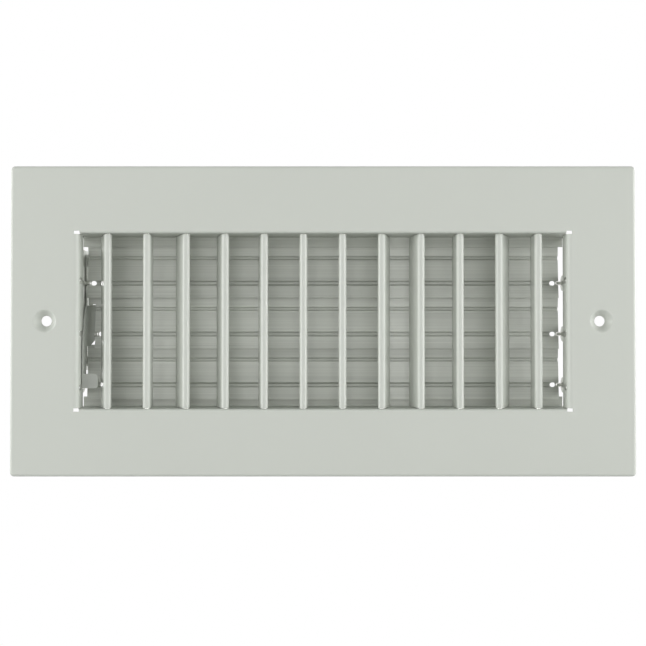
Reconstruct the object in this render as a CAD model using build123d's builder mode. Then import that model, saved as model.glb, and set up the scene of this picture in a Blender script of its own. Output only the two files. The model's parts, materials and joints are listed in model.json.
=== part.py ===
"""Supply register: a folded face plate, twelve adjustable bars and a three-shutter damper.

Millimetres. +X is right and +Z is up as the register hangs, +Y goes into the wall.
The origin is the middle of the face, on the wall plane. The damper is shown shut and the
bars stand at the odd angles they were left at.
"""
import math
import os

from build123d import *

# Bars, roll-formed round a pivot wire; an angle swings the tail to the right
BAR_ANGLES = [-25, 0, -28, -22, -14, 0, 0, 19, -17, -6, 30, -1]
BAR_PITCH = 19.05
BAR_END_SPACE = 13.225
BAR_NOSE_RADIUS = 1.85
BAR_TAIL_RADIUS = 0.5
BAR_FOLD_RADIUS = 0.1
BAR_SHEET = 0.5
BAR_CHORD = 13.5
BAR_AXIS_DEPTH = 4.0
BAR_END_GAP = 0.25
WIRE_FIT = 0.05
WIRE_STAND_OUT = 0.8
WIRE_SIDES = 12

# Neck, turned back round the opening
NECK_HEIGHT = 85.0
NECK_BEND = 1.2
NECK_SIDE_BEND = 2.4
NECK_DEPTH = 14.0
NECK_SIDE_DEPTH = 9.0
CORNER_RELIEF = 0.4
SIDE_NOTCH_HEIGHT = 3.0
SIDE_NOTCH_START = 2.6

# Face plate, folded from one sheet
FACE_SIDE_MARGIN = 33.0
FACE_TOP_MARGIN = 32.5
FACE_SHEET = 0.8
RIM_DEPTH = 4.0
RIM_BEND = 1.5
FACE_CORNER = 2.0

# Dimpled screw holes
SCREW_MARGIN = 16.3
SCREW_HOLE = 5.2
DIMPLE_WIDTH = 10.8
DIMPLE_ROUNDING = 1.0

# Damper case, four folded strips behind the neck
CASE_SIDE_GAP = 4.5
CASE_SHEET = 0.6
CASE_FRONT_DEPTH = 7.0
CASE_FOLD = 11.0
CASE_BEND = 1.0
CASE_WAIST = 5.5
CASE_SHOULDER = 6.0
CASE_CORNER_DEPTH = 13.0
CASE_CORNER_HEIGHT = 7.6
CASE_CORNER_WIDTH = 7.5
LOBE_RADIUS = 3.9
CASE_SLOT_LENGTH = 8.0
CASE_SLOT_END = 4.4

# Shutters
ROW_NAMES = ["lower", "middle", "upper"]
SHUTTER_FOOT = 10.3
SHUTTER_HEAD_GAP = 2.2
SHUTTER_BAR_GAP = 1.5
SHUTTER_SHEET = 0.5
SHUTTER_BELOW = 7.5
SHUTTER_OVERLAP = 2.0
SHUTTER_LEAN = 0.8
GROOVE_HEIGHT = 12.9
GROOVE_RADIUS = 1.0
GROOVE_BACK = 0.9
TOP_EDGE_BACK = 0.4
LIP_OVERLAP = 1.5

# Pivot pins of the shutters
PIN_RADIUS = 1.2
PIN_FIT = 0.05
PIN_LENGTH_INSIDE = 1.3
PIN_WINDOW_GAP = 0.2
PIN_WINDOW_LENGTH = 2.8
PIN_WINDOW_HEIGHT = 2.3
PIN_HEAD_RADIUS = 2.0
PIN_HEAD = 0.8
PIN_HEAD_GAP = 0.2

# Link bar on the left, with the crank pins that carry it
EYE_RADIUS = 3.0
LINK_SHEET = 0.8
LINK_GAP = 0.6
LINK_PIN_GAP = 0.6
LINK_END_GAP = 0.3
LINK_GUARD = 1.8
CRANK_DROP = 0.7
CRANK_PIN_RADIUS = 1.0
CRANK_PIN_END = 0.3
CRANK_HEAD = 0.5
CRANK_HEAD_RADIUS = 1.8

# Lever and its thumb tab
LEVER_SHEET = 0.8
LEVER_SIDE_GAP = 0.4
LEVER_SHUTTER_GAP = 0.2
LEVER_HUB_RADIUS = 3.2
LEVER_CORNER = 1.5
LEVER_TOP_FORWARD = 15.0
LEVER_TOP_UP = 12.4
LEVER_FRONT_DOWN = 4.5
LEVER_HEEL_FORWARD = 9.0
ARM_WIDTH = 5.0
TAB_DEPTH = 5.5
TAB_DROP = 19.5
TAB_HEIGHT = 7.0
TAB_WIDTH = 7.8
TAB_CORNER = 1.5

# How near an edge lies to the place where it is looked for
EDGE_REACH = 0.1

# Sizes and places that follow from the ones above
BAR_COUNT = len(BAR_ANGLES)
NECK_WIDTH = (BAR_COUNT - 1) * BAR_PITCH + 2 * BAR_END_SPACE
NECK_OUTSIDE = NECK_HEIGHT / 2 + FACE_SHEET
FACE_WIDTH = NECK_WIDTH + 2 * FACE_SIDE_MARGIN
FACE_HEIGHT = NECK_HEIGHT + 2 * FACE_TOP_MARGIN
FACE_FRONT = -RIM_DEPTH
SCREW_SPACING = NECK_WIDTH + 2 * SCREW_MARGIN
BAR_AXIS_Y = FACE_FRONT + BAR_AXIS_DEPTH
BAR_BACK = BAR_AXIS_Y + BAR_CHORD + BAR_TAIL_RADIUS
WIRE_RADIUS = BAR_NOSE_RADIUS - BAR_SHEET - WIRE_FIT
CASE_WIDTH = NECK_WIDTH + 2 * CASE_SIDE_GAP
SHUTTER_COUNT = len(ROW_NAMES)
MIDDLE_ROW = SHUTTER_COUNT // 2
SHUTTER_ROWS_HEIGHT = NECK_HEIGHT - SHUTTER_FOOT - SHUTTER_HEAD_GAP + SHUTTER_BELOW - SHUTTER_OVERLAP
SHUTTER_PITCH = SHUTTER_ROWS_HEIGHT / SHUTTER_COUNT
SHUTTER_HEIGHTS = [SHUTTER_FOOT - NECK_HEIGHT / 2 + row * SHUTTER_PITCH for row in range(SHUTTER_COUNT)]
SHUTTER_ABOVE = SHUTTER_PITCH - SHUTTER_BELOW + SHUTTER_OVERLAP
SHUTTER_AXIS_Y = BAR_BACK + SHUTTER_BAR_GAP + SHUTTER_BELOW
SHUTTER_HALF = CASE_WIDTH / 2 - LINK_GAP - LINK_SHEET - CRANK_PIN_END - LINK_END_GAP
PIN_OUTSIDE = CASE_WIDTH / 2 + CASE_SHEET + PIN_HEAD_GAP
CRANK_BACK = EYE_RADIUS + PIN_RADIUS + LINK_PIN_GAP
CRANK_UP = GROOVE_HEIGHT - CRANK_DROP
LEVER_X = -(NECK_WIDTH / 2 - LEVER_SIDE_GAP)
LEVER_REACH = SHUTTER_AXIS_Y - FACE_FRONT - TAB_DEPTH

os.makedirs("parts", exist_ok=True)


def save(piece, name):
    """Labels a finished piece and writes it as one STEP file."""
    piece.part.label = name
    export_step(piece.part, f"parts/{name}.step")


def facing(y):
    """A sketch plane across the register at depth y, seen from the room."""
    return Plane.XZ.offset(-y)


def across(x, y, z):
    """A sketch plane square to the width: its own axes are depth and height from (y, z)."""
    return Plane((x, y, z), x_dir=(0, 1, 0), z_dir=(1, 0, 0))


def neck_side(outward, half_opening, length, depth, bend):
    """Adds one turned-back side of the neck, bend included, to the face plate."""
    run = Vector(0, 1, 0)
    section = Plane((0, FACE_FRONT, 0), x_dir=outward, z_dir=Vector(*outward).cross(run))
    bend_at = half_opening + bend
    with BuildSketch(section) as profile:
        with BuildLine():
            front = RadiusArc((bend_at, 0), (half_opening, bend), bend)
            wall = Polyline(front @ 1, (half_opening, depth), (half_opening + FACE_SHEET, depth),
                            (half_opening + FACE_SHEET, bend))
            back = RadiusArc(wall @ 1, (bend_at, FACE_SHEET), FACE_SHEET - bend)
            Line(back @ 1, front @ 0)
        make_face()
    extrude(profile.sketch, amount=length / 2, both=True)


def make_face_frame():
    """Folded face plate: rim, screw dimples, and a neck whose four corners stay open."""
    opening_width = NECK_WIDTH + 2 * NECK_SIDE_BEND
    opening_height = NECK_HEIGHT + 2 * NECK_BEND
    with BuildPart() as face:
        with BuildSketch(facing(0)):
            RectangleRounded(FACE_WIDTH, FACE_HEIGHT, FACE_CORNER)
        extrude(amount=RIM_DEPTH)
        front_face = face.faces().sort_by(Axis.Y)[0]
        fillet(front_face.edges(), RIM_BEND)
        back_face = face.faces().sort_by(Axis.Y)[-1]
        offset(amount=-FACE_SHEET, openings=back_face)
        with BuildSketch(facing(FACE_FRONT)):
            Rectangle(opening_width, opening_height)
            with GridLocations(SCREW_SPACING, 0, 2, 1):
                Circle(DIMPLE_WIDTH / 2)
        extrude(amount=-FACE_SHEET, mode=Mode.SUBTRACT)
        for side in (1, -1):
            neck_side((0, 0, side), NECK_HEIGHT / 2, NECK_WIDTH - 2 * CORNER_RELIEF, NECK_DEPTH,
                      NECK_BEND)
            neck_side((side, 0, 0), NECK_WIDTH / 2, NECK_HEIGHT - 2 * CORNER_RELIEF,
                      NECK_SIDE_DEPTH, NECK_SIDE_BEND)
        for side in (1, -1):
            axis = Plane((side * SCREW_SPACING / 2, FACE_FRONT, 0), x_dir=(1, 0, 0), z_dir=(0, 0, 1))
            with BuildSketch(axis):
                with BuildLine():
                    Polyline((DIMPLE_WIDTH / 2, 0), (SCREW_HOLE / 2, RIM_DEPTH - FACE_SHEET),
                             (SCREW_HOLE / 2, RIM_DEPTH), (SCREW_HOLE / 2 + FACE_SHEET, RIM_DEPTH),
                             (DIMPLE_WIDTH / 2 + FACE_SHEET, FACE_SHEET),
                             (DIMPLE_WIDTH / 2 + FACE_SHEET, 0), close=True)
                make_face()
            revolve(axis=Axis((side * SCREW_SPACING / 2, 0, 0), (0, 1, 0)))
        dimple_rims = [edge for edge in face.edges().filter_by(GeomType.CIRCLE)
                       if abs(edge.radius - DIMPLE_WIDTH / 2) < EDGE_REACH
                       and abs(edge.center().Y - FACE_FRONT) < EDGE_REACH]
        fillet(dimple_rims, DIMPLE_ROUNDING)
        with BuildSketch(Plane.XY.offset(-NECK_OUTSIDE)):
            with Locations((0, BAR_AXIS_Y)):
                with GridLocations(BAR_PITCH, 0, BAR_COUNT, 1):
                    RegularPolygon(WIRE_RADIUS + WIRE_FIT, WIRE_SIDES, major_radius=False)
        extrude(amount=2 * NECK_OUTSIDE, mode=Mode.SUBTRACT)
        notch_end = FACE_FRONT + NECK_SIDE_DEPTH
        notch_start = FACE_FRONT + SIDE_NOTCH_START
        with BuildSketch(across(-NECK_WIDTH / 2 - FACE_SHEET, notch_end, 0)):
            with Locations([(0, height) for height in SHUTTER_HEIGHTS]):
                Rectangle(2 * (notch_end - notch_start), SIDE_NOTCH_HEIGHT)
        extrude(amount=NECK_WIDTH + 2 * FACE_SHEET, mode=Mode.SUBTRACT)
    save(face, "face_frame")


def make_bar(number, angle):
    """One roll-formed bar, hollow from nose to tail, and the wire it turns on."""
    x = (number - (BAR_COUNT - 1) / 2) * BAR_PITCH
    length = NECK_HEIGHT - 2 * BAR_END_GAP
    rearward = (math.sin(math.radians(angle)), math.cos(math.radians(angle)), 0)
    inner_chord = BAR_CHORD - 2 * BAR_SHEET
    section = Plane((x, BAR_AXIS_Y, -length / 2), x_dir=rearward, z_dir=(0, 0, 1))
    with BuildPart() as bar:
        with BuildSketch(section):
            Circle(BAR_NOSE_RADIUS)
            with Locations((BAR_CHORD, 0)):
                Circle(BAR_TAIL_RADIUS)
            make_hull()
        extrude(amount=length)
        with BuildSketch(section):
            Circle(BAR_NOSE_RADIUS - BAR_SHEET)
            with Locations((inner_chord, 0)):
                Circle(BAR_FOLD_RADIUS)
            make_hull()
        extrude(amount=length, mode=Mode.SUBTRACT)
    save(bar, f"bar_{number + 1:02d}")

    wire_end = NECK_OUTSIDE + WIRE_STAND_OUT
    with BuildPart() as wire:
        with BuildSketch(Plane((x, BAR_AXIS_Y, -wire_end))):
            RegularPolygon(WIRE_RADIUS, WIRE_SIDES)
        extrude(amount=2 * wire_end)
    save(wire, f"bar_wire_{number + 1:02d}")


def make_rail(name, side, lip_back):
    """Top or bottom strip of the case: lies on the neck and ends in a lip for a shutter edge."""
    lip_tip = SHUTTER_HEIGHTS[-1] + SHUTTER_PITCH - SHUTTER_BELOW
    if side < 0:
        lip_tip = SHUTTER_BELOW - SHUTTER_HEIGHTS[0] - LIP_OVERLAP
    outside = NECK_OUTSIDE + CASE_SHEET
    front = FACE_FRONT + CASE_FRONT_DEPTH
    back = SHUTTER_AXIS_Y + lip_back + CASE_SHEET
    section = Plane((-CASE_WIDTH / 2, 0, 0), x_dir=(0, 1, 0), z_dir=(side, 0, 0))
    length = CASE_WIDTH * side
    with BuildPart() as rail:
        with BuildSketch(section):
            with BuildLine():
                Polyline((front, outside), (back, outside), (back, lip_tip),
                         (back - CASE_SHEET, lip_tip), (back - CASE_SHEET, NECK_OUTSIDE),
                         (front, NECK_OUTSIDE), close=True)
            make_face()
        extrude(amount=length)
        inner_corner = (0, back - CASE_SHEET, side * NECK_OUTSIDE)
        for corner, radius in ((inner_corner, CASE_BEND),
                               ((0, back, side * outside), CASE_BEND + CASE_SHEET)):
            bend = rail.edges().filter_by(Axis.X).sort_by_distance(corner)[0]
            fillet(bend, radius)
        with BuildSketch(Plane.XY.offset(side * NECK_OUTSIDE)):
            with Locations((CASE_WIDTH / 2, front), (-CASE_WIDTH / 2, front)):
                Rectangle(2 * CASE_CORNER_WIDTH, 2 * CASE_CORNER_DEPTH)
        extrude(amount=side * CASE_SHEET, mode=Mode.SUBTRACT)
    save(rail, name)


def make_end_plate(name, side, guard_back=None):
    """End of the case: pivot lobes, folds that hold the rails and, on one side, a guard for the link."""
    link_length = SHUTTER_HEIGHTS[-1] - SHUTTER_HEIGHTS[0] + 2 * EYE_RADIUS
    link_middle = (SHUTTER_HEIGHTS[-1] + SHUTTER_HEIGHTS[0]) / 2 + CRANK_UP
    outside = NECK_OUTSIDE + CASE_SHEET
    front = FACE_FRONT + CASE_FRONT_DEPTH
    waist = SHUTTER_AXIS_Y - CASE_WAIST
    inner_x = side * CASE_WIDTH / 2
    shoulder = outside - CASE_SHOULDER
    corner_top = outside - CASE_CORNER_HEIGHT
    fold_front = front + CASE_CORNER_DEPTH
    fold_depth = SHUTTER_AXIS_Y - fold_front
    with BuildPart() as plate:
        with BuildSketch(across(inner_x, 0, 0)):
            with BuildLine():
                Polyline((front, -corner_top), (fold_front, -outside), (SHUTTER_AXIS_Y, -outside),
                         (waist, -shoulder), (waist, shoulder), (SHUTTER_AXIS_Y, outside),
                         (fold_front, outside), (front, corner_top), close=True)
            make_face()
            for height in SHUTTER_HEIGHTS:
                with Locations((SHUTTER_AXIS_Y, height)):
                    Circle(LOBE_RADIUS)
                with Locations(((SHUTTER_AXIS_Y + waist) / 2, height)):
                    Rectangle(SHUTTER_AXIS_Y - waist, 2 * LOBE_RADIUS)
            if guard_back:
                with Locations(((waist + guard_back) / 2, link_middle)):
                    Rectangle(guard_back - waist, link_length + 2 * LINK_GUARD)
            for height in SHUTTER_HEIGHTS:
                with Locations((SHUTTER_AXIS_Y, height)):
                    Circle(PIN_RADIUS + PIN_FIT, mode=Mode.SUBTRACT)
                slot_middle = SHUTTER_AXIS_Y - CASE_SLOT_END - CASE_SLOT_LENGTH / 2
                with Locations((slot_middle, height)):
                    Rectangle(CASE_SLOT_LENGTH, SIDE_NOTCH_HEIGHT, mode=Mode.SUBTRACT)
        extrude(amount=side * CASE_SHEET)
        fold_x = inner_x + side * (CASE_SHEET - CASE_FOLD / 2)
        for up in (1, -1):
            with BuildSketch(Plane.XY.offset(up * outside)):
                with Locations((fold_x, SHUTTER_AXIS_Y - fold_depth / 2)):
                    Rectangle(CASE_FOLD, fold_depth)
            extrude(amount=up * CASE_SHEET)
        fold_edges = [edge for edge in plate.edges().filter_by(Axis.Y)
                      if abs(edge.center().X - inner_x - side * CASE_SHEET) < EDGE_REACH
                      and abs(abs(edge.center().Z) - outside - CASE_SHEET) < EDGE_REACH]
        fillet(fold_edges, CASE_SHEET)
    save(plate, name)


def add_crank_ear(left_end, height):
    """Adds the ear, bent back from the end of a shutter, that the link bar turns on."""
    with BuildSketch(across(left_end, SHUTTER_AXIS_Y, height)) as ear:
        with Locations((CRANK_BACK, CRANK_UP)):
            Circle(EYE_RADIUS)
        with Locations((CRANK_BACK / 2 + SHUTTER_SHEET / 2, CRANK_UP - GROOVE_RADIUS)):
            Rectangle(CRANK_BACK - SHUTTER_SHEET, 2 * EYE_RADIUS - GROOVE_RADIUS)
        with Locations((CRANK_BACK, CRANK_UP)):
            Circle(CRANK_PIN_RADIUS, mode=Mode.SUBTRACT)
    extrude(ear.sketch, amount=SHUTTER_SHEET)


def shutter_left_end(row):
    """Where a shutter ends on the left: the middle one stops short of the lever."""
    if row == MIDDLE_ROW:
        return LEVER_X + LEVER_SHEET + LEVER_SHUTTER_GAP
    return -SHUTTER_HALF


def make_shutter(row):
    """One S-shaped shutter: a groove for its pivot pins, a second groove and a tucked top edge."""
    height = SHUTTER_HEIGHTS[row]
    left_end = shutter_left_end(row)
    trough = PIN_RADIUS + PIN_FIT
    with BuildPart() as shutter:
        with BuildSketch(across(left_end, SHUTTER_AXIS_Y, height)):
            with BuildLine():
                low = Line((-SHUTTER_LEAN, -SHUTTER_BELOW), (0, -trough))
                pivot_groove = ThreePointArc(low @ 1, (trough, 0), (0, trough))
                web = Line(pivot_groove @ 1, (GROOVE_BACK, GROOVE_HEIGHT - GROOVE_RADIUS))
                groove = ThreePointArc(web @ 1, (GROOVE_BACK + GROOVE_RADIUS, GROOVE_HEIGHT),
                                       (GROOVE_BACK, GROOVE_HEIGHT + GROOVE_RADIUS))
                Line(groove @ 1, (TOP_EDGE_BACK, SHUTTER_ABOVE))
                offset(amount=SHUTTER_SHEET, side=Side.RIGHT)
            make_face()
        extrude(amount=SHUTTER_HALF - left_end)
        window_middle = PIN_LENGTH_INSIDE + PIN_WINDOW_GAP + PIN_WINDOW_LENGTH / 2
        with BuildSketch(facing(SHUTTER_AXIS_Y + trough + SHUTTER_SHEET)):
            with Locations((left_end + window_middle, height), (SHUTTER_HALF - window_middle, height)):
                SlotOverall(PIN_WINDOW_LENGTH, PIN_WINDOW_HEIGHT)
        extrude(amount=trough + SHUTTER_SHEET, mode=Mode.SUBTRACT)
        if row != MIDDLE_ROW:
            add_crank_ear(left_end, height)
    save(shutter, f"{ROW_NAMES[row]}_shutter")


def add_pin(outer_x, inner_x, y, z, radius, head_radius, head):
    """Adds a turned pin along X: a head at outer_x and a plain shank that ends at inner_x."""
    length = abs(inner_x - outer_x)
    along = Plane((outer_x, y, z), x_dir=(math.copysign(1, inner_x - outer_x), 0, 0), z_dir=(0, -1, 0))
    with BuildSketch(along) as outline:
        with BuildLine():
            Polyline((0, 0), (0, head_radius), (head, head_radius), (head, radius),
                     (length, radius), (length, 0), close=True)
        make_face()
    revolve(outline.sketch, axis=Axis((outer_x, y, z), (1, 0, 0)))


def make_shutter_pins(row):
    """The two pivot pins of a shutter and, on its left, the pin that carries the link bar."""
    height = SHUTTER_HEIGHTS[row]
    left_end = shutter_left_end(row)
    link_outside = -SHUTTER_HALF - LINK_GAP - LINK_SHEET
    head_x = left_end + SHUTTER_SHEET + CRANK_HEAD
    if row == MIDDLE_ROW:
        head_x = LEVER_X + LEVER_SHEET + CRANK_HEAD
    with BuildPart() as pins:
        for outer_x, inner_x in ((PIN_OUTSIDE + PIN_HEAD, SHUTTER_HALF - PIN_LENGTH_INSIDE),
                                 (-PIN_OUTSIDE - PIN_HEAD, left_end + PIN_LENGTH_INSIDE)):
            add_pin(outer_x, inner_x, SHUTTER_AXIS_Y, height, PIN_RADIUS, PIN_HEAD_RADIUS, PIN_HEAD)
        add_pin(head_x, link_outside - CRANK_PIN_END, SHUTTER_AXIS_Y + CRANK_BACK, height + CRANK_UP,
                CRANK_PIN_RADIUS, CRANK_HEAD_RADIUS, CRANK_HEAD)
    save(pins, f"{ROW_NAMES[row]}_shutter_pins")


def make_link_bar():
    """Flat bar on the three crank pins, which keeps the shutters parallel."""
    inner_x = -SHUTTER_HALF - LINK_GAP
    top = SHUTTER_HEIGHTS[-1] - SHUTTER_HEIGHTS[0]
    with BuildPart() as link:
        with BuildSketch(across(inner_x, SHUTTER_AXIS_Y + CRANK_BACK, SHUTTER_HEIGHTS[0] + CRANK_UP)):
            with Locations((0, top / 2)):
                SlotOverall(top + 2 * EYE_RADIUS, 2 * EYE_RADIUS, rotation=90)
            with Locations([(0, row * SHUTTER_PITCH) for row in range(SHUTTER_COUNT)]):
                Circle(CRANK_PIN_RADIUS + PIN_FIT, mode=Mode.SUBTRACT)
        extrude(amount=-LINK_SHEET)
    save(link, "link_bar")


def make_lever():
    """Damper lever: a plate on the middle pivot pin and crank pin, and an arm with a thumb tab."""
    height = SHUTTER_HEIGHTS[MIDDLE_ROW]
    side = across(LEVER_X, SHUTTER_AXIS_Y, height)
    arm_foot = TAB_DROP + TAB_HEIGHT
    with BuildPart() as lever:
        with BuildSketch(side):
            Circle(LEVER_HUB_RADIUS)
            with Locations((CRANK_BACK, CRANK_UP)):
                Circle(EYE_RADIUS)
            with Locations((-LEVER_TOP_FORWARD, LEVER_TOP_UP), (-LEVER_HEEL_FORWARD, -LEVER_FRONT_DOWN),
                           (LEVER_CORNER - LEVER_REACH, -LEVER_FRONT_DOWN)):
                Circle(LEVER_CORNER)
            make_hull()
            with Locations((ARM_WIDTH / 2 - LEVER_REACH, -(LEVER_FRONT_DOWN + arm_foot) / 2)):
                Rectangle(ARM_WIDTH, arm_foot - LEVER_FRONT_DOWN)
            Circle(PIN_RADIUS + PIN_FIT, mode=Mode.SUBTRACT)
            with Locations((CRANK_BACK, CRANK_UP)):
                Circle(CRANK_PIN_RADIUS, mode=Mode.SUBTRACT)
        extrude(amount=LEVER_SHEET)
        with BuildSketch(facing(SHUTTER_AXIS_Y - LEVER_REACH)):
            with Locations((LEVER_X + TAB_WIDTH / 2, height - TAB_DROP - TAB_HEIGHT / 2)):
                Rectangle(TAB_WIDTH, TAB_HEIGHT)
        extrude(amount=-LEVER_SHEET)
        tab_corners = lever.edges().filter_by(Axis.Y).group_by(Axis.X)[-1]
        fillet(tab_corners, TAB_CORNER)
        heel = (LEVER_X, SHUTTER_AXIS_Y - LEVER_REACH + ARM_WIDTH, height - arm_foot)
        fillet(lever.edges().filter_by(Axis.X).sort_by_distance(heel)[0], LEVER_CORNER)
    save(lever, "damper_lever")


make_face_frame()
for number, angle in enumerate(BAR_ANGLES):
    make_bar(number, angle)
make_rail("top_rail", 1, -SHUTTER_LEAN)
make_rail("bottom_rail", -1, TOP_EDGE_BACK)
make_end_plate("left_end_plate", -1, SHUTTER_AXIS_Y + CRANK_BACK + EYE_RADIUS)
make_end_plate("right_end_plate", 1)
for row in range(SHUTTER_COUNT):
    make_shutter(row)
    make_shutter_pins(row)
make_link_bar()
make_lever()
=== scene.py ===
# %% [markdown]
# # A wall register in baked enamel
#
# The object is a supply register: a folded steel face plate, a row of upright bars that turn on
# wires, and a damper of three long shutters behind them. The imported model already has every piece
# at its real size, so this lesson is about what makes sheet metal look like sheet metal: the
# enamel, the plated pins, the weld marks, and a light that comes mostly from the two sides.

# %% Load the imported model
import json
import math

import bmesh
import bpy
from mathutils import Matrix, Vector


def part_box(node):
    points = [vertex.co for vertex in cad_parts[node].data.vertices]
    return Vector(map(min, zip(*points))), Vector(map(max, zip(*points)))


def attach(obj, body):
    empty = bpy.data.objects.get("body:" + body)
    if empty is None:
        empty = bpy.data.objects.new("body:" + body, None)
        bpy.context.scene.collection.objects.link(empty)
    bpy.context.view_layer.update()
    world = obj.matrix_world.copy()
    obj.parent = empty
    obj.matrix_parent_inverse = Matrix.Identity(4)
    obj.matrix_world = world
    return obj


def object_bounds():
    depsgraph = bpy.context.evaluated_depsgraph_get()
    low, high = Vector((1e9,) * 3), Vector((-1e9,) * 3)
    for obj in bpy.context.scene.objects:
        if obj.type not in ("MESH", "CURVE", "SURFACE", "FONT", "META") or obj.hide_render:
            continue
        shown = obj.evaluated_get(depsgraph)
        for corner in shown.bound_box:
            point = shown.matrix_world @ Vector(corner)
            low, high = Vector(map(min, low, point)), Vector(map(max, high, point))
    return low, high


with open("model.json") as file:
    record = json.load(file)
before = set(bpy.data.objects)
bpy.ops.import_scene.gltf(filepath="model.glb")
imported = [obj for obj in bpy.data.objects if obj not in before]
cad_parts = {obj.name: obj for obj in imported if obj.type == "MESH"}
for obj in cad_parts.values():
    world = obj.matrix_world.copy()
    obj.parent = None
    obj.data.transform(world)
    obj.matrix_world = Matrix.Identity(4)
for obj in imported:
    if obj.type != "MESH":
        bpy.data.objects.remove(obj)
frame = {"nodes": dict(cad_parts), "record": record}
cad_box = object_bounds()
nodes = frame["nodes"]
MM = 0.001
print(len(nodes), "pieces, box in mm:", [round(side / MM, 1) for side in cad_box[1] - cad_box[0]])

# %% [markdown]
# ## Writing a finish as a sum
#
# A finish is a chain of shader nodes, and most of them are arithmetic. Node by node in the editor
# that is slow to read, so one small class wraps an output socket. Adding or multiplying two of
# them adds the Math node, and `node` adds any other kind, with its settings first and then the
# values or links of its sockets.

# %% The signal class
class Signal:
    """An output of a shader node, which can be added, subtracted and multiplied."""

    def __init__(self, tree, socket=None):
        self.tree = tree
        self.socket = socket

    def node(self, kind, settings=None, inputs=None, output=0):
        """Adds a node of any kind and returns one of its outputs as a signal."""
        made = self.tree.nodes.new(kind)
        for name, value in (settings or {}).items():
            setattr(made, name, value)
        for name, value in (inputs or {}).items():
            if isinstance(value, Signal):
                self.tree.links.new(value.socket, made.inputs[name])
            else:
                made.inputs[name].default_value = value
        return Signal(self.tree, made.outputs[output] if made.outputs else None)

    def math(self, operation, first, second, clamp=False):
        return self.node("ShaderNodeMath", {"operation": operation, "use_clamp": clamp},
                         {0: first, 1: second})

    def __add__(self, other):
        return self.math("ADD", self, other)

    def __sub__(self, other):
        return self.math("SUBTRACT", self, other)

    def __rsub__(self, other):
        return self.math("SUBTRACT", other, self)

    def __mul__(self, other):
        return self.math("MULTIPLY", self, other)

    __radd__ = __add__
    __rmul__ = __mul__

    def clamped(self):
        """The signal, kept between 0 and 1."""
        return self.math("MULTIPLY", self, 1.0, clamp=True)

    def between(self, low, high):
        """A colour that runs from low to high as the signal runs from 0 to 1."""
        return self.node("ShaderNodeMix", {"data_type": "RGBA"},
                         {0: self, 6: (*low, 1.0), 7: (*high, 1.0)}, output=2)


def blank_finish(name):
    """A material with no nodes, and a signal to start its chain from."""
    material = bpy.data.materials.new(name)
    material.use_nodes = True
    material.node_tree.nodes.clear()
    return material, Signal(material.node_tree)


def noise(start, place, scale, detail=2.0):
    """Soft cloudy noise, with scale in blotches per metre."""
    return start.node("ShaderNodeTexNoise", {}, {"Vector": place, "Scale": scale, "Detail": detail})


def stretched(start, place, along):
    """Object coordinates squeezed or drawn out along the three axes."""
    return start.node("ShaderNodeMapping", {}, {"Vector": place, "Scale": along})


def close(start, shader):
    """Ends a chain at the material's output."""
    start.node("ShaderNodeOutputMaterial", {}, {"Surface": shader})


print("signal class ready")

# %% [markdown]
# ## Baked enamel
#
# The plate and the bars carry one coat of off-white enamel, sprayed and baked. It is a satin
# paint: it mirrors nothing clearly, but its gloss is a little uneven, and close up it has the fine
# ripple called orange peel. A plain grey would look like plastic. Here a wide, faint cloud shifts
# the colour, a finer one shifts the roughness, and the ripple goes into a bump. The bars are
# shinier, and half of their cloud is drawn out along Z, the way they were rolled.

# %% Enamel
ENAMEL = (0.585, 0.611, 0.560)
PEEL_PER_METRE = 700.0
PEEL_HEIGHT = 0.012 * MM
CLOUD_PER_METRE = 16.0
CLOUD_DEPTH = 0.03
GLOSS_PER_METRE = 140.0
GLOSS_SPREAD = 0.12
ENAMEL_SHINE = 0.4
FACE_ROUGHNESS = 0.42
BAR_ROUGHNESS = 0.22
BAR_STREAKS = (60.0, 60.0, 3.0)


def shaded(colour, share):
    """The colour, made darker by that share."""
    return tuple(channel * (1.0 - share) for channel in colour)


def enamel(name, colour, roughness, cloud_depth=CLOUD_DEPTH, streaks=None):
    """Satin paint with uneven gloss, orange peel and a faint cloud, which may be partly streaked."""
    material, start = blank_finish(name)
    place = start.node("ShaderNodeTexCoord", output="Object")
    cloud = noise(start, place, CLOUD_PER_METRE, 3.0)
    if streaks:
        cloud = 0.5 * cloud + 0.5 * noise(start, stretched(start, place, streaks), 1.0, 3.0)
    gloss = noise(start, place, GLOSS_PER_METRE)
    peel = noise(start, place, PEEL_PER_METRE, 1.0)
    bump = start.node("ShaderNodeBump", {}, {"Height": peel, "Distance": PEEL_HEIGHT, "Strength": 1.0})
    paint = start.node("ShaderNodeBsdfPrincipled", {}, {
        "Base Color": cloud.between(shaded(colour, cloud_depth), colour),
        "Roughness": gloss * GLOSS_SPREAD + (roughness - GLOSS_SPREAD / 2),
        "Normal": bump,
        "Specular IOR Level": ENAMEL_SHINE})
    close(start, paint)
    return material


face_enamel = enamel("face_enamel", ENAMEL, FACE_ROUGHNESS)
bar_enamel = enamel("bar_enamel", ENAMEL, BAR_ROUGHNESS, streaks=BAR_STREAKS)
print("enamel for the plate and the bars")
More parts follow.
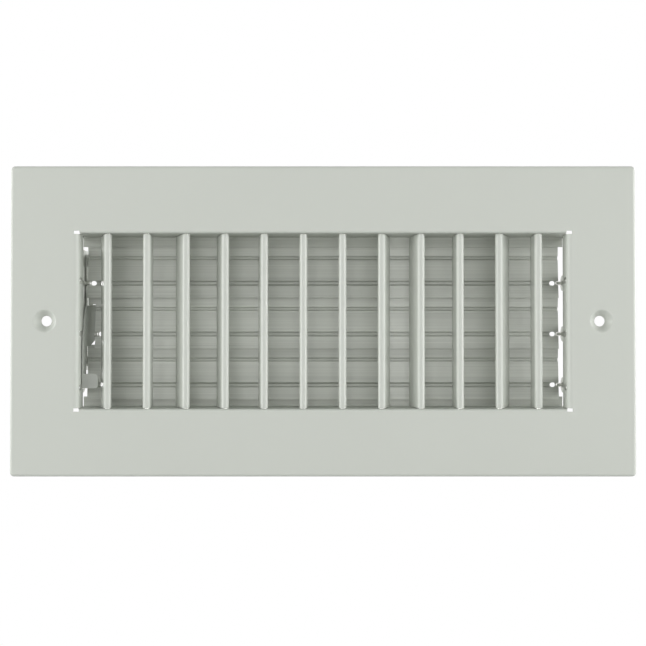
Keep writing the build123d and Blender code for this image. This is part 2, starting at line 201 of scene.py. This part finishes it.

# %% [markdown]
# ## The damper's wash coat
#
# The shutters and their case only got a thin wash of the enamel's colour, and the sheen of the rolled
# steel shows through it. Such a sheet mirrors the room softly. The wash is also painted paler than
# the enamel: that is painted light, standing in for the light that bounces between the bars, and with
# the sheen it keeps the shutters from going black in the shade of the bars. The rolls left lines along
# X, so both noises are drawn out along X: wide bands that shift the colour, and fine lines that also
# shift the roughness and the bump.
# The lever gets the enamel in a darker shade, which is painted shade for the shadow it sits in between
# the first bar and the side of the case.

# %% Damper coat
# Paler than the enamel: partly the wash's own colour, partly painted light for the light bounced
# between the bars
WASH_AND_PAINTED_BOUNCE = (0.68, 0.701, 0.649)
WASH_SHADE = 0.30
WASH_METAL = 0.45
WASH_ROUGHNESS = 0.55
BANDS = (3.0, 160.0, 160.0)
ROLL_LINES = (6.0, 1400.0, 1400.0)
ROLL_DEPTH = 0.006 * MM
BAND_WEIGHT = 1.5
LINE_WEIGHT = 1.2
CLOUD_WEIGHT = 0.6
TONE_FLOOR = 1.15
LINE_SPREAD = 0.16
# Painted shade: how much darker the lever's enamel is made, for the shadow it sits in
LEVER_PAINTED_SHADE = 0.26
LEVER_ROUGHNESS = 0.45
LEVER_CLOUD = 0.06


def wash_coat(name, colour, metal):
    """Thin paint over rolled steel, with bands and fine lines along the sheet."""
    material, start = blank_finish(name)
    place = start.node("ShaderNodeTexCoord", output="Object")
    bands = noise(start, stretched(start, place, BANDS), 1.0, 4.0)
    lines = noise(start, stretched(start, place, ROLL_LINES), 1.0, 3.0)
    cloud = noise(start, place, CLOUD_PER_METRE, 3.0)
    tone = BAND_WEIGHT * bands + LINE_WEIGHT * lines + CLOUD_WEIGHT * cloud - TONE_FLOOR
    bump = start.node("ShaderNodeBump", {}, {"Height": lines, "Distance": ROLL_DEPTH, "Strength": 1.0})
    close(start, start.node("ShaderNodeBsdfPrincipled", {}, {
        "Base Color": tone.clamped().between(shaded(colour, WASH_SHADE), colour),
        "Metallic": metal,
        "Roughness": lines * LINE_SPREAD + (WASH_ROUGHNESS - LINE_SPREAD / 2),
        "Normal": bump}))
    return material


# The wash colour carries painted light: it is a paler copy of the enamel
shutter_paint = wash_coat("shutter_paint", WASH_AND_PAINTED_BOUNCE, WASH_METAL)
# The lever's enamel is darkened as painted shade, not as a darker coat
lever_paint = enamel("lever_paint", shaded(ENAMEL, LEVER_PAINTED_SHADE), LEVER_ROUGHNESS, LEVER_CLOUD)
print("wash coat for the damper, enamel for its lever")

# %% [markdown]
# ## Bright plate
#
# The pins and wires are plated, not painted. Bright zinc is a metal with a slightly milky shine,
# so the roughness wanders, and the drawing of the wire leaves faint lines in the bump.

# %% Plated steel
PLATE = (0.93, 0.93, 0.90)
PLATE_SHADE = 0.15
PLATE_ROUGHNESS = 0.14
MILK_PER_METRE = 350.0
MILK_SPREAD = 0.2
DRAWN_LINES = (90.0, 2500.0, 2500.0)
DRAWN_DEPTH = 0.01 * MM

plated, start = blank_finish("plated_steel")
place = start.node("ShaderNodeTexCoord", output="Object")
milk = noise(start, place, MILK_PER_METRE, 3.0)
drawn = noise(start, stretched(start, place, DRAWN_LINES), 1.0)
close(start, start.node("ShaderNodeBsdfPrincipled", {}, {
    "Base Color": milk.between(shaded(PLATE, PLATE_SHADE), PLATE),
    "Metallic": 1.0,
    "Roughness": milk * MILK_SPREAD + PLATE_ROUGHNESS,
    "Normal": start.node("ShaderNodeBump", {}, {"Height": drawn, "Distance": DRAWN_DEPTH})}))
print("plated steel")

# %% [markdown]
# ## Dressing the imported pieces
#
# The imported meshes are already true, so they stay and only get a finish. The record says which
# slot each piece has, and one table turns a slot into a finish.

# %% Give each piece its finish
FINISH_OF_SLOT = {"face_paint": face_enamel, "bar_paint": bar_enamel, "damper_paint": shutter_paint,
                  "lever_paint": lever_paint, "plated_wire": plated}
for entry in frame["record"]["subparts"]:
    piece = nodes[entry["node"]]
    piece.data.materials.clear()
    piece.data.materials.append(FINISH_OF_SLOT[entry["material_slot"]])
print("dressed", len(nodes), "pieces")

# %% [markdown]
# ## Weld marks
#
# The rails of the case are spot-welded to the neck. A weld leaves a shallow round dish with a
# raised lip, and from behind those marks tell the eye that this is sheet steel. Each is a low
# cone, whose top face is inset twice: once for the lip and once for the dish.

# %% Spot welds
WELD_RADIUS = 1.7 * MM
WELD_LIP = 0.14 * MM
WELD_DISH = 0.09 * MM
WELD_TOP_RADIUS = 0.85 * WELD_RADIUS
WELD_LIP_WIDTH = 0.2 * WELD_RADIUS
WELD_SLOPE_WIDTH = 0.25 * WELD_RADIUS
WELD_SIDES = 24
WELDS_PER_RAIL = 7
SHARP_FROM = math.radians(40)


def add_piece(name, shape, body, slot):
    """Turns a finished shape into a piece that moves with a body and takes a slot's finish."""
    mesh = bpy.data.meshes.new(name)
    shape.to_mesh(mesh)
    shape.free()
    mesh.materials.append(FINISH_OF_SLOT[slot])
    piece = bpy.data.objects.new(name, mesh)
    bpy.context.scene.collection.objects.link(piece)
    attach(piece, body)
    return piece


def weld_marks(name, places, up):
    """Raised dishes on a level strip; up is 1 on the top of the case and -1 below it."""
    shape = bmesh.new()
    for place in places:
        middle = Vector(place) + Vector((0, 0, up * WELD_LIP / 2))
        turn = Matrix.Rotation(0.0 if up > 0 else math.pi, 4, "X")
        made = bmesh.ops.create_cone(shape, cap_ends=True, segments=WELD_SIDES, radius1=WELD_RADIUS,
                                     radius2=WELD_TOP_RADIUS, depth=WELD_LIP,
                                     matrix=Matrix.Translation(middle) @ turn)
        faces = {face for corner in made["verts"] for face in corner.link_faces}
        caps = [face for face in faces if len(face.verts) == WELD_SIDES]
        top = max(caps, key=lambda cap: cap.normal.z * up)
        bmesh.ops.inset_region(shape, faces=[top], thickness=WELD_LIP_WIDTH)
        bmesh.ops.inset_region(shape, faces=[top], thickness=WELD_SLOPE_WIDTH, depth=-WELD_DISH)
    marks = add_piece(name, shape, "case", "damper_paint")
    marks.data.shade_smooth()
    marks.data.set_sharp_from_angle(angle=SHARP_FROM)


neck_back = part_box("face_frame")[1].y
for rail, up in (("top_rail", 1), ("bottom_rail", -1)):
    low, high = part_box(rail)
    surface = high.z if up > 0 else low.z
    overlap_middle = (low.y + neck_back) / 2
    step = (high.x - low.x) / (WELDS_PER_RAIL + 1)
    row = [(low.x + step * (index + 1), overlap_middle, surface) for index in range(WELDS_PER_RAIL)]
    weld_marks(f"{rail}_welds", row, up)
    print(rail, "has", len(row), "weld marks")

# %% [markdown]
# ## The corner over the lever
#
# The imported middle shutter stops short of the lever. On the real one only the part beside the lever
# is cut away, and above it the sheet reaches as far out as the other shutters. That corner is one
# outline of six points on the slope of the sheet, which an extrusion gives its thickness.

# %% Corner of the middle shutter
SHEET = 0.5 * MM
CORNER_FOOT = 7.7 * MM
CORNER_FOOT_DEPTH = 23.9 * MM
CORNER_TOP_DEPTH = 23.4 * MM
STEP_HEIGHT = 9.1 * MM
LEVER_CLEARANCE = 0.4 * MM
END_CLEARANCE = 0.3 * MM

shutter_low, shutter_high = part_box("middle_shutter")
inner = shutter_low.x
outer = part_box("upper_shutter")[0].x + END_CLEARANCE
beside_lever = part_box("damper_lever")[0].x - LEVER_CLEARANCE
slope = (CORNER_TOP_DEPTH - CORNER_FOOT_DEPTH) / (shutter_high.z - CORNER_FOOT)
outline = [(inner, shutter_high.z), (outer, shutter_high.z), (outer, CORNER_FOOT),
           (beside_lever, CORNER_FOOT), (beside_lever, STEP_HEIGHT), (inner, STEP_HEIGHT)]
shape = bmesh.new()
points = [shape.verts.new((x, CORNER_FOOT_DEPTH + slope * (z - CORNER_FOOT), z)) for x, z in outline]
grown = bmesh.ops.extrude_face_region(shape, geom=[shape.faces.new(points)])
moved = [item for item in grown["geom"] if isinstance(item, bmesh.types.BMVert)]
bmesh.ops.translate(shape, verts=moved, vec=(0, SHEET, 0))
bmesh.ops.recalc_face_normals(shape, faces=shape.faces)
closed = all(edge.is_manifold for edge in shape.edges)
add_piece("middle_shutter_corner", shape, "middle_shutter_body", "damper_paint")
print("corner of the middle shutter", "closed" if closed else "open")

# %% [markdown]
# ## Floor and background
#
# The register is shown against plain white, seen through every gap. The floor and the world are
# white to the eye and to mirrors, and only dim for all other rays. More light on the object would
# also make the background white, but it would bleach the pale paint.

# %% Floor and world
AMBIENT = 0.24
FLOOR_DROP = 0.35
FLOOR_SIZE = 6.0
FLOOR_GREY = (0.5, 0.5, 0.5, 1.0)
WHITE = (1.0, 1.0, 1.0, 1.0)


def seen_directly(start):
    """1 for rays from the eye and for mirrored or refracted ones, 0 for the rest."""
    rays = {}
    for name in ("Is Camera Ray", "Is Glossy Ray", "Is Transmission Ray"):
        rays[name] = start.node("ShaderNodeLightPath", output=name)
    return (rays["Is Camera Ray"] + rays["Is Glossy Ray"] + rays["Is Transmission Ray"]).clamped()


world = bpy.data.worlds.new("white_room")
bpy.context.scene.world = world
world.use_nodes = True
world.node_tree.nodes.clear()
start = Signal(world.node_tree)
direct = seen_directly(start)
sky = start.node("ShaderNodeBackground", {}, {
    "Color": WHITE,
    "Strength": direct * (1.0 - AMBIENT) + AMBIENT})
start.node("ShaderNodeOutputWorld", {}, {"Surface": sky})

floor_finish, start = blank_finish("pale_floor")
matt = start.node("ShaderNodeBsdfDiffuse", {}, {"Color": FLOOR_GREY})
white = start.node("ShaderNodeEmission", {}, {"Color": WHITE, "Strength": 1.0})
close(start, start.node("ShaderNodeMixShader", {}, {0: seen_directly(start), 1: matt, 2: white}))
shape = bmesh.new()
bmesh.ops.create_grid(shape, x_segments=1, y_segments=1, size=FLOOR_SIZE / 2,
                      matrix=Matrix.Translation((0, 0, cad_box[0].z - FLOOR_DROP)))
floor_mesh = bpy.data.meshes.new("floor")
shape.to_mesh(floor_mesh)
shape.free()
floor = bpy.data.objects.new("floor", floor_mesh)
floor_mesh.materials.append(floor_finish)
bpy.context.scene.collection.objects.link(floor)
print("floor at", round(cad_box[0].z - FLOOR_DROP, 3), "m")

# %% [markdown]
# ## Soft boxes
#
# One light from the front would flatten the bars. So on each side stand four tall soft boxes, a
# little high. A weak one near the front reaches the shutters, and a broad one shines in between the
# bars. One far round to the side rakes the bars and brightens the flanks of their noses. The last
# one lights the back.

# %% Lights on both sides
LIGHT_DISTANCE = 1.2
LIGHT_RISE = 0.12
LIGHT_HEIGHT = 0.7
# Turn from straight ahead in degrees, power in watts and width in metres
SIDE_LIGHTS = {"front": (12.0, 1.1, 0.5), "broad": (56.0, 4.8, 0.6),
               "raking": (80.0, 6.8, 0.5), "back": (140.0, 2.8, 0.6)}


def soft_box(name, place, power, width, height):
    """A soft box that looks at the middle of the register."""
    lamp = bpy.data.lights.new(name, "AREA")
    lamp.shape = "RECTANGLE"
    lamp.size = width
    lamp.size_y = height
    lamp.energy = power
    light = bpy.data.objects.new(name, lamp)
    light.location = place
    light.rotation_mode = "QUATERNION"
    light.rotation_quaternion = (-Vector(place)).to_track_quat("-Z", "Y")
    bpy.context.scene.collection.objects.link(light)


for kind, (turn, power, width) in SIDE_LIGHTS.items():
    across = LIGHT_DISTANCE * math.sin(math.radians(turn))
    ahead = -LIGHT_DISTANCE * math.cos(math.radians(turn))
    for hand, side in (("left", -1), ("right", 1)):
        soft_box(f"{kind}_{hand}", (side * across, ahead, LIGHT_RISE), power, width, LIGHT_HEIGHT)
print("soft boxes on both sides:", ", ".join(SIDE_LIGHTS))

# %% [markdown]
# ## Camera
#
# The picture was taken square on, from about 0.43 m, a touch below the middle: the bottom of the
# plate is a little wider than the top. A 50 mm lens on a 36 mm sensor gives that perspective.

# %% Camera
LENS = 50.0
SENSOR = 36.0
IMAGE = 646
PIXELS_PER_METRE = 2075.0
NEAR_CLIP = 0.01
# Pixels from the middle of the picture up to the face's centre, and the upward tilt in degrees
FACE_CENTRE_ABOVE = 2.0
TILT = 0.8

distance = LENS / SENSOR * IMAGE / PIXELS_PER_METRE
aim = -FACE_CENTRE_ABOVE / PIXELS_PER_METRE
view = bpy.data.cameras.new("view")
view.lens = LENS
view.sensor_width = SENSOR
view.clip_start = NEAR_CLIP
camera = bpy.data.objects.new("view", view)
camera.location = (0.0, cad_box[0].y - distance, aim - distance * math.tan(math.radians(TILT)))
camera.rotation_euler = (math.radians(90.0 + TILT), 0.0, 0.0)
bpy.context.scene.collection.objects.link(camera)
bpy.context.scene.camera = camera
bpy.context.scene.view_settings.view_transform = "Standard"
print("camera at", [round(part, 4) for part in camera.location])
